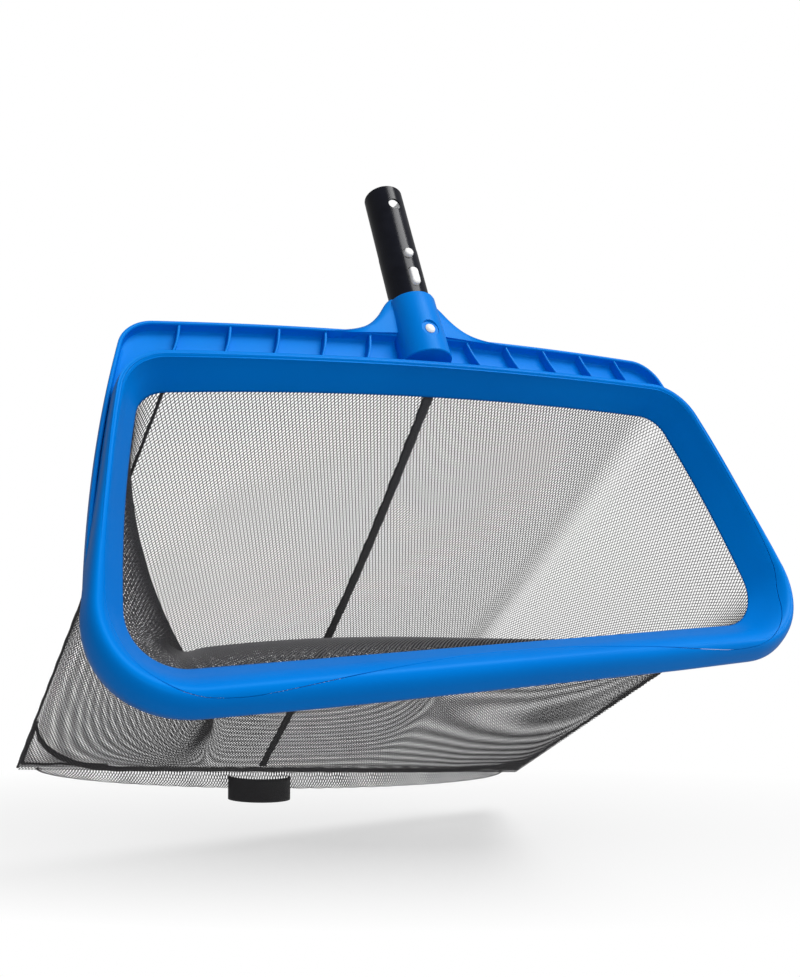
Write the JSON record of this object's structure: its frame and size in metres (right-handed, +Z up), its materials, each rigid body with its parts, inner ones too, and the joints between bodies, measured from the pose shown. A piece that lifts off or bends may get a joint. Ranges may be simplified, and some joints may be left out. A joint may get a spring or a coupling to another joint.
{
  "type": "leaf skimmer net",
  "caption": "Blue moulded skimmer frame with a deep black mesh bag, centre strap and pull strap, and a black tube with a sprung lock clip that fits inside a telescopic pole.",
  "frame": {"origin": "on the tube's axis, half way along the stretch that goes into the pole, 28 mm from the tube's tip", "axes": "+Z up as the net hangs from a held pole; +X across the mouth; +Y back, away from the mouth's front. The mouth's plane leans 60 degrees from the floor and the tube rises at 62.3 degrees."},
  "size_m": [0.4984, 0.4394, 0.5313],
  "materials": {
    "blue_plastic": "satin moulded polypropylene",
    "black_anodised": "satin black anodised outside, bare inside",
    "white_nylon": "natural white nylon",
    "netting": "black knitted polyester netting",
    "cord": "black braided cord",
    "seam_tape": "folded and stitched netting",
    "webbing": "black woven webbing"
  },
  "bodies": {
    "frame": {"frame_moulding": "blue_plastic", "clamp_ring": "blue_plastic", "mouth_hem": "netting", "hem_cord": "cord", "tube": "black_anodised", "clip_bridge": "white_nylon", "socket_rivet": "white_nylon", "rivet_washer": "white_nylon", "bag_upper_panel": "netting", "bag_lower_panel": "netting", "side_seam_left": "seam_tape", "side_seam_right": "seam_tape", "end_seam": "seam_tape", "corner_flap_left": "netting", "corner_flap_right": "netting", "centre_strap": "webbing", "end_hem": "seam_tape", "pull_strap": "webbing"},
    "front_leg": {"clip_leg_front": "white_nylon"},
    "rear_leg": {"clip_leg_rear": "white_nylon"}
  },
  "joints": [
    {"name": "front_leg_press", "type": "hinge", "parent": "frame", "child": "front_leg", "pos_m": [0, -0.04992, -0.08109], "axis": [-1, 0, 0], "range_deg": [0, 3.2], "stiffness_Nm_per_rad": 0.6, "springref_deg": -6.88},
    {"name": "rear_leg_press", "type": "hinge", "parent": "frame", "child": "rear_leg", "pos_m": [0, -0.03841, -0.08713], "axis": [1, 0, 0], "range_deg": [0, 3.2], "stiffness_Nm_per_rad": 0.6, "springref_deg": -6.88}
  ]
}
